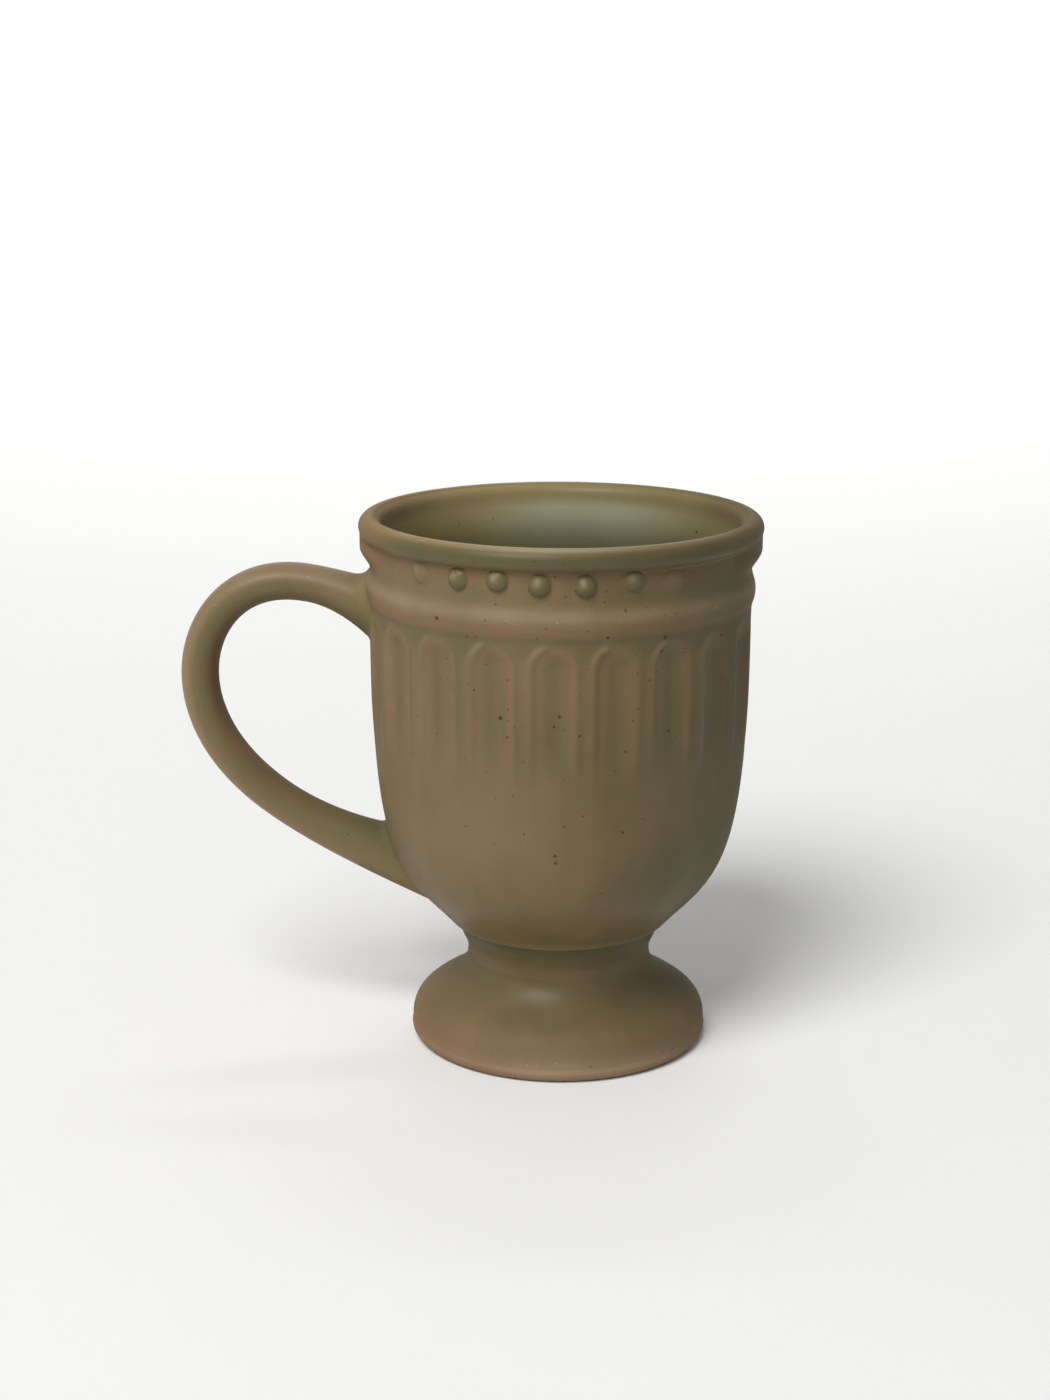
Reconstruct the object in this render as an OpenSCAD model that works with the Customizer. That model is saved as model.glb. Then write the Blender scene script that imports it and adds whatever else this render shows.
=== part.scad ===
// Footed stoneware mug: a round bowl with a rolled lip, a beaded frieze and a fluted wall,
// luted onto a trumpet-shaped pedestal, with an ear-shaped handle.
// The mug stands on z = 0 with its axis on Z. The handle points along -X, and -Y is the front.

/* [Bowl] */
// Height of the mug, from the table to the top of the lip
mug_h = 122; // [118:1:132]
// Outer diameter of the rolled lip
rim_d = 90; // [88:0.5:92]
// How far the lip stands out of the straight wall
lip_out = 2.5; // [2:0.1:3]
// Radius of the lip's round edge
lip_r = 2.6; // [2.3:0.1:2.8]
// Drop from the top of the lip to the top of the frieze
lip_drop = 5.4; // [5:0.1:7]
// Thickness of the wall
wall_t = 3.8; // [3.2:0.1:4.5]
// Height of the straight wall, from the round belly up to the moulding
straight_h = 8.3; // [5:0.1:12]
// Diameter of the base, whose arris overhangs the pedestal
base_d = 49.2; // [48.6:0.2:53]
// Thickness of the floor
floor_t = 4.2; // [3:0.1:6]

/* [Frieze] */
// Height of the plain band that carries the beads
frieze_h = 7.3; // [6.8:0.1:10]
// Height of the half-round moulding under the frieze
torus_h = 7; // [5:0.5:8]
// How far the moulding stands out of the wall
torus_proud = 0.9; // [0.5:0.1:2]
// Number of beads round the frieze
bead_count = 28; // [20:1:32]
// Diameter of a bead where it meets the frieze
bead_d = 5; // [3:0.1:6]
// How far a bead stands out of the frieze
bead_proud = 1.7; // [1:0.1:2.2]
// Turn of the first bead from the front, in degrees
bead_turn = 9.4; // [0:0.1:12]

/* [Flutes] */
// Number of flutes round the wall
flute_count = 20; // [12:1:22]
// Width of a flute
flute_w = 9.2; // [6:0.1:10]
// Depth of a flute
flute_depth = 0.8; // [0.4:0.1:1.4]
// Gap between the moulding and the arched top of a flute
flute_gap = 1.1; // [0.5:0.1:4]
// Length of a flute, from its arched top to where it has faded out
flute_len = 33; // [24:1:36]
// Length over which the foot of a flute fades into the wall
flute_fade = 6; // [3:0.5:9]
// Turn of the first flute from the front, in degrees
flute_turn = 0; // [-1:0.1:1]

/* [Pedestal] */
// Height of the pedestal
foot_h = 27.8; // [25:0.2:32]
// Outer diameter of the pedestal's edge
foot_d = 68; // [62:1:76]
// Height of the waist, the pedestal's narrowest ring
waist_z = 20.8; // [18:0.2:22]
// Diameter of the waist
waist_d = 41.4; // [38:0.2:43]
// Diameter of the neck, just under the bowl's arris
neck_d = 46.2; // [44:0.2:48.4]
// Diameter of the hollow through the stem
bore_d = 30; // [24:0.5:32]
// Width of the ring that rests on the table
rest_w = 3.2; // [2.5:0.1:5]
// Radius of the pedestal's lower outer edge
edge_r = 2.6; // [1.5:0.1:3]

/* [Handle] */
// Reach of the handle's centreline from the wall
handle_reach = 39.3; // [34:0.1:44]
// Drop from the top of the lip to the top of the handle's centreline
handle_drop = 16.2; // [14:0.1:20]
// Height of the lower root above the bowl's base
root_up = 13.1; // [12:0.1:16]
// Thickness of the handle across the loop
handle_t = 8.3; // [7:0.1:10]
// Width of the handle
handle_w = 10.4; // [8:0.1:13]
// Spread of the handle's roots, added on each side
root_spread = 4.7; // [3:0.1:5]
// Length of the upper root's spread along the handle
upper_root_len = 23; // [15:1:35]
// Length of the lower root's spread along the handle
lower_root_len = 46; // [30:1:65]

/* [Hidden] */
// Overrun of every cut past the face that it leaves by
cut = 1;
// Steps of a curve, of a small curve, and of a full turn
curve_steps = 14;
small_steps = 6;
turn_steps = 120;
bead_steps = 32;
// Rings along each stretch of the handle, and sides of its section
handle_rings = 13;
handle_sides = 24;

glaze = [0.44, 0.39, 0.29];
glaze_light = [0.50, 0.45, 0.34];
glaze_dark = [0.38, 0.36, 0.26];

body_r = rim_d / 2 - lip_out;
inner_r = body_r - wall_t;
base_r = base_d / 2;
foot_r = foot_d / 2;
waist_r = waist_d / 2;
neck_r = neck_d / 2;
bore_r = bore_d / 2;
lip_at = [rim_d / 2 - lip_r, mug_h - lip_r];
frieze_top = mug_h - lip_drop;
torus_top = frieze_top - frieze_h;
torus_low = torus_top - torus_h;
belly_h = torus_low - straight_h - foot_h;
flute_top = torus_low - flute_gap;
flute_low = flute_top - flute_len;
bead_z = frieze_top - bead_d / 2;
bead_r = (pow(bead_d / 2, 2) + pow(bead_proud, 2)) / (2 * bead_proud);
bead_in = body_r + bead_proud - bead_r;
full_turn = 360;
flute_pitch = full_turn / flute_count;
// Angle of the handle, counted round from the front. It sits in the flutes within a share of a pitch
handle_side = 270;
seat_share = 0.75;
handle_low = foot_h + root_up;
handle_rise = mug_h - handle_drop - handle_low;

// Control points of the curves, as shares of the spans that carry them
belly_shares = [[0, 0], [0.61, 0.196], [1, 0.149], [1, 1]];
cove_shares = [[1, 1], [0.6, 0.4], [0, 0.45], [0, 0]];
shoulder_shares = [[1, 1], [1, 0.6], [0, 0.5], [0, 0]];
edge_shares = [[1, 0.347], [0.953, 0.39], [0.829, 0.453]];
flare_shares = [[0.829, 0.453], [0.556, 0.592], [0, 0.69], [0, 1]];
waist_shares = [[0, 0], [0, 0.184], [0.118, 0.303], [0.44, 0.42]];
neck_shares = [[0.44, 0.42], [0.794, 0.553], [1, 0.71], [1, 1]];
hollow_shares = [[1, 0], [1, 0.4], [0, 0.45], [0, 0.94]];
// The handle's centreline: out from the wall in reaches, up from the lower root in rises
upper_root_shares = [[-0.193, 0.863], [0.073, 0.946], [0.275, 1], [0.476, 1]];
crown_shares = [[0.476, 1], [0.82, 1], [1, 0.827], [1, 0.663]];
lower_root_shares = [[1, 0.663], [1, 0.457], [0.74, 0.126], [-0.495, -0.041]];
// The floor's curve starts this far up the belly and sweeps in to the axis
floor_start_share = 0.2;
floor_lead_share = 0.15;
floor_flat_share = 0.5;
// The lip's arc runs from under its outer side to its inner side, between these angles
lip_under = -50;
lip_inside = 180;
// Power that squares the handle's oval section a little
section_power = 0.88;

// One cubic curve through four control points
function curve(p, steps) = [
    for (i = [0:steps])
        let (t = i / steps, u = 1 - t)
            u * u * u * p[0] + 3 * u * u * t * p[1] + 3 * u * t * t * p[2] + t * t * t * p[3]
];
// Control points laid out from an origin, in shares of a span
function laid(shares, origin, span) = [
    for (s = shares) [origin[0] + s[0] * span[0], origin[1] + s[1] * span[1]]
];
function unit(v) = v / norm(v);
// The point that lies a distance to the left of point i, seen along the path
function beside(path, i, d) =
    let (
        a = path[max(i - 1, 0)],
        b = path[min(i + 1, len(path) - 1)],
        t = unit(b - a)
    )
    path[i] + d * [-t[1], t[0]];
function swapped(path) = [for (p = path) [p[1], p[0]]];
function reversed(path) = [for (i = [len(path) - 1:-1:0]) path[i]];

belly = curve(laid(belly_shares, [base_r, foot_h], [body_r - base_r, belly_h]), curve_steps);
belly_table = swapped(belly);
function wall_r(z) = lookup(z, belly_table);

torus = [
    for (i = [0:2 * small_steps])
        let (s = i / small_steps - 1)
            [body_r + torus_proud * (1 - s * s), torus_low + torus_h * (s + 1) / 2]
];
lip_arc = [
    for (i = [0:2 * curve_steps])
        let (a = lip_under + (lip_inside - lip_under) * i / (2 * curve_steps))
            lip_at + lip_r * [cos(a), sin(a)]
];
cove = curve(laid(cove_shares, [body_r, frieze_top], lip_arc[0] - [body_r, frieze_top]), small_steps);

// Outside of the bowl, from its base on the axis up to the top of the lip
outside = concat(
    [[0, foot_h]],
    belly,
    torus,
    reversed(cove),
    [for (p = lip_arc) if (p[0] >= lip_at[0]) p],
    [[lip_at[0], mug_h], [0, mug_h]]
);

// Inside of the cup, from the lip down to the floor on the axis
shoulder = curve(
    laid(shoulder_shares, [inner_r, torus_top], [lip_at[0] - lip_r - inner_r, lip_at[1] - torus_top]),
    small_steps
);
floor_start = ceil(floor_start_share * curve_steps);
inner_belly = [for (i = [len(belly) - 1:-1:floor_start]) beside(belly, i, wall_t)];
floor_edge = inner_belly[len(inner_belly) - 1];
floor_z = foot_h + floor_t;
floor_run = floor_edge[0];
floor_lead = unit(floor_edge - inner_belly[len(inner_belly) - 2]);
floor_curve = curve(
    [
        floor_edge,
        floor_edge + floor_run * floor_lead_share * floor_lead,
        [floor_run * floor_flat_share, floor_z],
        [0, floor_z]
    ],
    small_steps
);
inside = concat(
    [[0, mug_h + cut], [lip_at[0], mug_h + cut]],
    [for (p = lip_arc) if (p[0] <= lip_at[0]) p],
    shoulder,
    inner_belly,
    floor_curve
);

module lathe(profile) {
    rotate_extrude($fn = turn_steps)
        polygon(profile);
}

// The arched outline of one flute, standing in the plane of the wall
module flute_outline() {
    translate([0, flute_top - flute_w / 2])
        circle(d = flute_w, $fn = turn_steps);
    translate([-flute_w / 2, flute_low - cut])
        square([flute_w, flute_len + cut - flute_w / 2]);
}

// The ring that the flutes are cut from: it fades out of the wall at its lower end
module flute_band() {
    stations = 2 * small_steps;
    floor_line = [
        for (i = [0:stations])
            let (
                z = flute_low + flute_len * i / stations,
                depth = flute_depth * min(1, (z - flute_low) / flute_fade)
            )
                [wall_r(z) - depth, z]
    ];
    lathe(concat(
        [[wall_r(flute_low) + cut, flute_low - flute_fade / 2]],
        [for (i = [1:stations]) floor_line[i]],
        [[body_r + cut, flute_top], [body_r + cut, flute_low - flute_fade / 2]]
    ));
}

// One flute at the front: what the band and the arched outline share
module flute() {
    intersection() {
        flute_band();
        translate([0, -inner_r, 0])
            rotate([90, 0, 0])
                linear_extrude(height = wall_t + 2 * cut)
                    flute_outline();
    }
}

// The flutes whose middle lies within an angle of the handle's side
module flutes(within) {
    for (i = [0:flute_count - 1])
        if (abs(flute_turn + i * flute_pitch - handle_side) <= within)
            rotate([0, 0, flute_turn + i * flute_pitch])
                flute();
}

// The bowl before it is hollowed, with all its flutes, or only those that the handle sits in
module bowl_block(within) {
    difference() {
        lathe(outside);
        flutes(within);
    }
}

module bowl() {
    color(glaze)
        difference() {
            bowl_block(full_turn);
            lathe(inside);
        }
}

// One bead: a cap of a sphere, whose back takes the curve of the frieze
module bead() {
    difference() {
        translate([0, -bead_in, bead_z])
            sphere(r = bead_r, $fn = bead_steps);
        translate([0, 0, bead_z - bead_d])
            cylinder(r = body_r, h = 2 * bead_d, $fn = turn_steps);
    }
}

module beads() {
    color(glaze_dark)
        for (i = [0:bead_count - 1])
            rotate([0, 0, bead_turn + i * 360 / bead_count])
                bead();
}

module pedestal_foot() {
    flare_span = [foot_r - waist_r, waist_z];
    neck_span = [neck_r - waist_r, foot_h - waist_z];
    hollow_span = [foot_r - edge_r - rest_w - bore_r, waist_z];
    edge = [
        for (i = [0:small_steps])
            let (a = -90 + 90 * i / small_steps)
                [foot_r - edge_r, edge_r] + edge_r * [cos(a), sin(a)]
    ];
    color(glaze_light)
        lathe(concat(
            edge,
            curve(concat([[foot_r, edge_r]], laid(edge_shares, [waist_r, 0], flare_span)), small_steps),
            curve(laid(flare_shares, [waist_r, 0], flare_span), curve_steps),
            curve(laid(waist_shares, [waist_r, waist_z], neck_span), small_steps),
            curve(laid(neck_shares, [waist_r, waist_z], neck_span), small_steps),
            [[bore_r, foot_h]],
            reversed(curve(laid(hollow_shares, [bore_r, 0], hollow_span), curve_steps))
        ));
}

// The handle's centreline in the XZ plane, from inside the upper root to inside the lower one
function handle_stretch(shares) = [
    for (s = shares) [-body_r - s[0] * handle_reach, handle_low + s[1] * handle_rise]
];
centreline = concat(
    curve(handle_stretch(upper_root_shares), handle_rings),
    [for (i = [1:handle_rings]) curve(handle_stretch(crown_shares), handle_rings)[i]],
    [for (i = [1:2 * handle_rings]) curve(handle_stretch(lower_root_shares), 2 * handle_rings)[i]]
);
// Length along the centreline up to each ring
function run_to(path, i) = i == 0 ? 0 : run_to(path, i - 1) + norm(path[i] - path[i - 1]);
runs = [for (i = [0:len(centreline) - 1]) run_to(centreline, i)];
full_run = runs[len(runs) - 1];
// What the section gains on each side at a place along the centreline
function spread(s) =
    root_spread * (
        pow(max(0, 1 - s / upper_root_len), 2) + pow(max(0, 1 - (full_run - s) / lower_root_len), 2)
    );
function rounded(v) = sign(v) * pow(abs(v), section_power);

module handle_sweep() {
    rings = len(centreline);
    sides = handle_sides;
    points = [
        for (i = [0:rings - 1])
            for (k = [0:sides - 1])
                let (
                    a = 360 * k / sides,
                    grown = spread(runs[i]),
                    p = beside(centreline, i, (handle_t / 2 + grown) * rounded(cos(a)))
                )
                    [p[0], (handle_w / 2 + grown) * rounded(sin(a)), p[1]]
    ];
    skin = [
        for (i = [0:rings - 2])
            for (k = [0:sides - 1])
                let (
                    a = i * sides + k,
                    b = i * sides + (k + 1) % sides,
                    c = a + sides,
                    d = b + sides
                )
                    each [[a, c, b], [b, c, d]]
    ];
    first_cap = [[for (k = [0:sides - 1]) k]];
    last_cap = [[for (k = [sides - 1:-1:0]) (rings - 1) * sides + k]];
    polyhedron(points, concat(first_cap, skin, last_cap));
}

module handle() {
    color(glaze)
        difference() {
            handle_sweep();
            bowl_block(seat_share * flute_pitch);
        }
}

bowl();
beads();
pedestal_foot();
handle();
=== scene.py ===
import math
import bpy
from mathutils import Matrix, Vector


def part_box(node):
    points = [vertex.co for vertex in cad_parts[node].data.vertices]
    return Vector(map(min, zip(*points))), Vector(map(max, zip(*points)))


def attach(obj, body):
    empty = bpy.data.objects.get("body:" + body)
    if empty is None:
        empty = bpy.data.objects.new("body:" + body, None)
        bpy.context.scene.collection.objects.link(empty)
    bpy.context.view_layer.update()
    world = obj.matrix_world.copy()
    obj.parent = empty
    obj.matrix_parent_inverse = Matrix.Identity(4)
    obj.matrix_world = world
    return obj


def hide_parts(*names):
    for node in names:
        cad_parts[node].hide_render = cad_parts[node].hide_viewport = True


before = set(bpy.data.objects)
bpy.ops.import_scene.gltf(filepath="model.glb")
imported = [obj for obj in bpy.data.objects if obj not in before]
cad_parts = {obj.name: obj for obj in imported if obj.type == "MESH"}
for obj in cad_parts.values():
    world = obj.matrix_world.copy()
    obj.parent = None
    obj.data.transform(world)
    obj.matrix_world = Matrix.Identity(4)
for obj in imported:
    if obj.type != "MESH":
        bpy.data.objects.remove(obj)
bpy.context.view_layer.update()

from types import SimpleNamespace

import bmesh
import bpy
from bpy.props import FloatProperty, FloatVectorProperty, IntProperty, PointerProperty
from mathutils import Matrix, Vector
from mathutils.bvhtree import BVHTree

bl_info = {
    "name": "Footed mug",
    "version": (1, 0, 0),
    "blender": (4, 5, 0),
    "location": "3D View > Sidebar > Mug",
    "description": "Makes a footed stoneware mug with beads, flutes and a mottled glaze",
    "category": "Add Mesh",
}

MM = 0.001
BODY = "root"
bowl_low, bowl_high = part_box("bowl")


def length(name, text, value):
    return FloatProperty(
        name=name, description=text, default=value, min=0, precision=5, unit="LENGTH", subtype="DISTANCE"
    )


def angle(name, text, degrees):
    return FloatProperty(
        name=name, description=text, default=math.radians(degrees), unit="ROTATION", subtype="ANGLE"
    )


def share(name, text, value):
    return FloatProperty(name=name, description=text, default=value, min=0, max=1, subtype="FACTOR")


def power(name, text, watts):
    return FloatProperty(name=name, description=text, default=watts, min=0, unit="POWER")


def count(name, text, value):
    return IntProperty(name=name, description=text, default=value, min=1)


def seed(name, text, value):
    return IntProperty(name=name, description=text, default=value)


def colour(name, text, value):
    return FloatVectorProperty(
        name=name, description=text, default=value, size=3, min=0, max=1, subtype="COLOR"
    )


class BowlSizes(bpy.types.PropertyGroup):
    height: length("Height", "From the table to the top of the lip", bowl_high.z)
    rim_radius: length("Rim", "Outer radius of the rolled lip", 45 * MM)
    lip_out: length("Lip overhang", "How far the lip stands out of the straight wall", 2.5 * MM)
    lip_radius: length("Lip edge", "Radius of the lip's round edge", 2.6 * MM)
    lip_drop: length("Lip drop", "From the top of the lip to the top of the frieze", 5.4 * MM)
    frieze: length("Frieze", "Height of the plain band that carries the beads", 7.3 * MM)
    torus: length("Moulding", "Height of the half-round moulding", 7 * MM)
    torus_proud: length("Moulding, proud", "How far the moulding stands out of the wall", 0.9 * MM)
    straight: length("Straight wall", "From the round belly up to the moulding", 8.3 * MM)
    wall: length("Wall", "Thickness of the wall", 3.8 * MM)
    base_radius: length("Base", "Radius of the arris at the base of the bowl", 24.6 * MM)
    base_z: length("Base height", "Height of the bowl's base above the table", bowl_low.z)
    floor: length("Floor", "Thickness of the floor", 4.2 * MM)
    softness: length("Softness", "How far the glaze rounds the edges of the clay", 0.45 * MM)
    lip_softness: length("Lip, softness", "How far the glaze rounds the inner side of the lip", 1.0 * MM)
    torus_softness: length("Moulding, softness", "How far the glaze fills the moulding's corners", 0.85 * MM)
    arris_softness: length("Arris, softness", "How far the glaze rounds the arris at the base", 0.32 * MM)


class FluteSizes(bpy.types.PropertyGroup):
    number: count("Flutes", "Number of flutes round the wall", 20)
    width: length("Width", "Width of a flute", 9.0 * MM)
    depth: length("Depth", "Depth of a flute at its edges", 0.62 * MM)
    hollow: length("Hollow", "How much deeper a flute is along its middle", 0.3 * MM)
    gap: length("Gap", "From the moulding to the arched top of a flute", 1.6 * MM)
    run: length("Length", "From the arched top to where the flute has faded out", 33 * MM)
    fade: length("Fade", "Length over which the foot of a flute fades out", 14 * MM)
    edge: length("Edge", "Width of the slope at the edge of a flute", 1.9 * MM)
    roll: length("Roll", "Height of the soft roll that frames a flute", 0.18 * MM)
    roll_width: length("Roll width", "Width of the soft roll", 1.1 * MM)
    steps: count("Steps", "Steps of the mesh across a flute and a rib", 22)


class BeadSizes(bpy.types.PropertyGroup):
    number: count("Beads", "Number of beads round the frieze", 28)
    radius: length("Radius", "Radius of a bead where it meets the frieze", 2.5 * MM)
    proud: length("Proud", "How far a bead stands out of the frieze", 1.55 * MM)
    skirt: length("Skirt", "Width of the glaze that fills the corner round a bead", 0.6 * MM)
    drop: length("Drop", "From the top of the frieze to the middle of a bead", 2.5 * MM)
    turn: angle("Turn", "Turn of the first bead from the front", 9.4)
    aside: length("Aside", "How far a bead may sit to either side of its place", 0.7 * MM)
    lift: length("Lift", "How far a bead may sit above or below its place", 0.9 * MM)
    crispest: angle("Crispest side", "Where round the mug the beads are crispest", -6)
    flattening: share("Flattening", "How much lower the beads are at the sides of the mould", 0.95)
    sinking: length("Sinking", "How far the most worn beads have sunk into the glaze", 0.25 * MM)
    aside_seed: seed("Aside seed", "Seed of the beads' places round the frieze", 10098)
    lift_seed: seed("Lift seed", "Seed of the beads' heights", 10999)
    size_seed: seed("Size seed", "Seed of the beads' sizes", 4)


class FootSizes(bpy.types.PropertyGroup):
    radius: length("Radius", "Outer radius of the pedestal's edge", 34 * MM)
    waist_z: length("Waist height", "Height of the narrowest ring", 20.8 * MM)
    waist_radius: length("Waist", "Radius of the narrowest ring", 20.7 * MM)
    neck_radius: length("Neck", "Radius just under the bowl's arris", 23.1 * MM)
    bore_radius: length("Bore", "Radius of the hollow through the stem", 15 * MM)
    rest: length("Rest", "Width of the ring that rests on the table", 3.2 * MM)
    edge: length("Edge", "Radius of the lower outer edge", 2.6 * MM)
    softness: length("Softness", "How far the glaze rounds the edges of the clay", 0.35 * MM)
    neck_softness: length("Neck, softness", "How far the bend of the neck spreads", 1.6 * MM)
    edge_softness: length("Edge, softness", "How far the round of the upper edge spreads", 1.9 * MM)
    steps: count("Steps", "Steps of the mesh round the pedestal", 180)


class HandleSizes(bpy.types.PropertyGroup):
    reach: length("Reach", "From the wall to the outermost point of the centreline", 39.3 * MM)
    drop: length("Drop", "From the top of the lip to the top of the centreline", 16.2 * MM)
    root_up: length("Lower root", "Height of the lower root above the bowl's base", 13.1 * MM)
    thickness: length("Thickness", "Thickness of the handle across the loop", 8.3 * MM)
    width: length("Width", "Width of the handle", 10.4 * MM)
    spread: length("Spread", "What the roots gain on each side", 4.7 * MM)
    upper_spread: length("Upper spread", "Length of the upper root's spread", 23 * MM)
    lower_spread: length("Lower spread", "Length of the lower root's spread", 46 * MM)
    upper_over: length("Upper fillet, outer", "Radius of the slip over the upper root", 3.4 * MM)
    upper_under: length("Upper fillet, inner", "Radius of the slip under the upper root", 1.3 * MM)
    lower_over: length("Lower fillet, inner", "Radius of the slip over the lower root", 2.9 * MM)
    lower_under: length("Lower fillet, outer", "Radius of the slip under the lower root", 0.6 * MM)
    sides: count("Sides", "Sides of the mesh round the handle", 56)


class GlazeColours(bpy.types.PropertyGroup):
    olive: colour("Olive", "The glaze where it is thick", (0.110, 0.0915, 0.040))
    tan: colour("Tan", "The glaze where it is thinner", (0.162, 0.108, 0.053))
    # Rust also joins the pool in the painted shade on the handle's inner side
    rust: colour("Rust", "The glaze where it breaks over an edge", (0.185, 0.099, 0.053))
    # Pool is also the painted shade under the lip, the moulding and the beads, below the arris, on the
    # handle's inner side and deep in the cup
    pool: colour("Pool", "The glaze where it has run together", (0.078, 0.0725, 0.032))
    khaki: colour("Khaki", "The glaze on the lip", (0.205, 0.140, 0.053))
    # Pale is also the painted highlight on the lip's crest, the moulding's top, the arris, the arches'
    # shoulders, the beads and the handle's outer side
    pale: colour("Pale", "The glaze where it is stretched thin on a round edge", (0.270, 0.203, 0.125))
    # Sage in the middle and moss at the sides paint a cool reflection on the cup's inside; sage also paints a
    # highlight on the middle of the lip
    sage: colour("Sage", "The pale, cool glaze in the middle of the cup's inside", (0.352, 0.350, 0.238))
    moss: colour("Moss", "The browner glaze at the two sides of the cup's inside", (0.275, 0.225, 0.098))
    speck: colour("Speck", "The iron specks", (0.070, 0.021, 0.009))
    # The glints are painted highlights
    glint: colour("Glint", "The tiny bright grains where the glaze is pale", (0.6, 0.57, 0.48))
    clay: colour("Clay", "The bare clay under the foot", (0.420, 0.260, 0.165))


class StageSettings(bpy.types.PropertyGroup):
    distance: length("Camera distance", "From the mug's axis to the camera", 521.3 * MM)
    height: length("Camera height", "Height of the camera above the table", 213.6 * MM)
    turn: angle("Camera turn", "Turn of the camera round the mug", 1.8)
    pitch: angle("Pitch", "How far the camera looks down", 14.48)
    yaw: angle("Yaw", "How far the camera looks aside", -0.869)
    roll: angle("Roll", "Tilt of the camera about its line of sight", 0.134)
    lens: FloatProperty(name="Lens", description="Focal length of the camera", default=61.18, unit="CAMERA")
    key: power("Key light", "Power of the soft light above the front", 25.9)
    back: power("Backdrop light", "Power of the light on the backdrop", 24.0)
    room: FloatProperty(name="Room light", description="Strength of the light all round", default=0.2, min=0)
    floor: colour("Floor", "Colour of the floor", (0.88, 0.88, 0.87))
    flat: length("Flat floor", "From the mug's axis to where the floor starts to rise", 600 * MM)
    wide: length("Backdrop", "From the mug's axis to the backdrop", 2600 * MM)
    high: length("Backdrop height", "Height of the backdrop", 1700 * MM)


GROUPS = {
    "mug_bowl": BowlSizes,
    "mug_flutes": FluteSizes,
    "mug_beads": BeadSizes,
    "mug_foot": FootSizes,
    "mug_handle": HandleSizes,
    "mug_glaze": GlazeColours,
    "mug_stage": StageSettings,
}

# Control points of the curves, as shares of the spans that carry them
BELLY = [(0, 0), (0.61, 0.196), (1, 0.149), (1, 1)]
COVE = [(1, 1), (0.6, 0.4), (0, 0.45), (0, 0)]
SHOULDER = [(1, 1), (1, 0.6), (0, 0.5), (0, 0)]
FOOT_EDGE = [(1, 0.347), (0.953, 0.39), (0.829, 0.453)]
FLARE = [(0.829, 0.453), (0.556, 0.592), (0, 0.69), (0, 1)]
WAIST = [(0, 0), (0, 0.184), (0.118, 0.303), (0.44, 0.42)]
NECK = [(0.44, 0.42), (0.794, 0.553), (1, 0.71), (1, 1)]
HOLLOW = [(1, 0), (1, 0.4), (0, 0.45), (0, 0.94)]
UPPER_ROOT = [(-0.193, 0.863), (0.073, 0.946), (0.275, 1), (0.476, 1)]
CROWN = [(0.476, 1), (0.82, 1), (1, 0.827), (1, 0.663)]
LOWER_ROOT = [(1, 0.663), (1, 0.457), (0.74, 0.126), (-0.495, -0.041)]
BACKDROP = [(0, 0), (0.65, 0), (1, 0.1176), (1, 1)]
# An outline is softened in steps of this length, and then thinned to rows that turn no more than this
OUTLINE_STEP = 0.2 * MM
ROW_TURN = math.radians(7)
# What the glaze does at a point of a mesh, each from 0 to 1. Some marks paint light and shade too:
# pool and sunk carry painted shade, pale and inside carry painted highlights and a painted reflection
MARKS = ("rust", "pool", "pale", "lip", "inside", "sunk", "bare", "dry", "green")
PLAIN = dict.fromkeys(MARKS, 0.0)


def curve(points, steps):
    """Points of one cubic curve through four control points."""
    a, b, c, d = (Vector(p) for p in points)
    out = []
    for i in range(steps + 1):
        t = i / steps
        u = 1 - t
        out.append(u * u * u * a + 3 * u * u * t * b + 3 * u * t * t * c + t * t * t * d)
    return out


def laid(shares, origin, span):
    """Control points given as shares of a span, laid out from its origin."""
    return [(origin[0] + s[0] * span[0], origin[1] + s[1] * span[1]) for s in shares]


def arc(centre, radius, first, last, steps):
    """Points of an arc in the plane of the profile, between two angles in degrees."""
    out = []
    for i in range(steps + 1):
        a = math.radians(first + (last - first) * i / steps)
        out.append(Vector((centre[0] + radius * math.cos(a), centre[1] + radius * math.sin(a))))
    return out


def even(path, step):
    """The path with points a step apart."""
    out = [path[0].copy()]
    left = step
    for a, b in zip(path[:-1], path[1:]):
        run = (b - a).length
        at = 0.0
        while run - at >= left:
            at += left
            out.append(a.lerp(b, at / run))
            left = step
        left -= run - at
    if (path[-1] - out[-1]).length > step * 0.2:
        out.append(path[-1].copy())
    return out


def softened(path, step, reach):
    """The path with its corners rounded, as a coat of glaze rounds them. Its two ends stay."""
    path = even(path, step)
    out = []
    for i, p in enumerate(path):
        far = reach(p)
        either_side = min(i, len(path) - 1 - i, int(3 * far / step))
        total, sum_point = 0.0, Vector((0, 0))
        for k in range(-either_side, either_side + 1):
            weight = math.exp(-0.5 * (k * step / far) ** 2)
            total += weight
            sum_point += path[i + k] * weight
        out.append(sum_point / total)
    return out


def bends(path):
    """How sharply the path bends at each point, per metre. Hollows are negative."""
    out = [0.0]
    for a, b, c in zip(path[:-2], path[1:-1], path[2:]):
        u, v = b - a, c - b
        turn = math.atan2(u.x * v.y - u.y * v.x, u.dot(v))
        out.append(turn / max(1e-7, (u.length + v.length) / 2))
    return out + [0.0]


def thinned(path, longest):
    """The points that matter: where the path has run far enough or turned far enough."""
    kept = [0]
    turned = 0.0
    bend = bends(path)
    for i in range(1, len(path) - 1):
        turned += abs(bend[i]) * (path[i + 1] - path[i - 1]).length / 2
        if (path[i] - path[kept[-1]]).length >= longest(path[i]) or turned >= ROW_TURN:
            kept.append(i)
            turned = 0.0
    return kept + [len(path) - 1]


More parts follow.
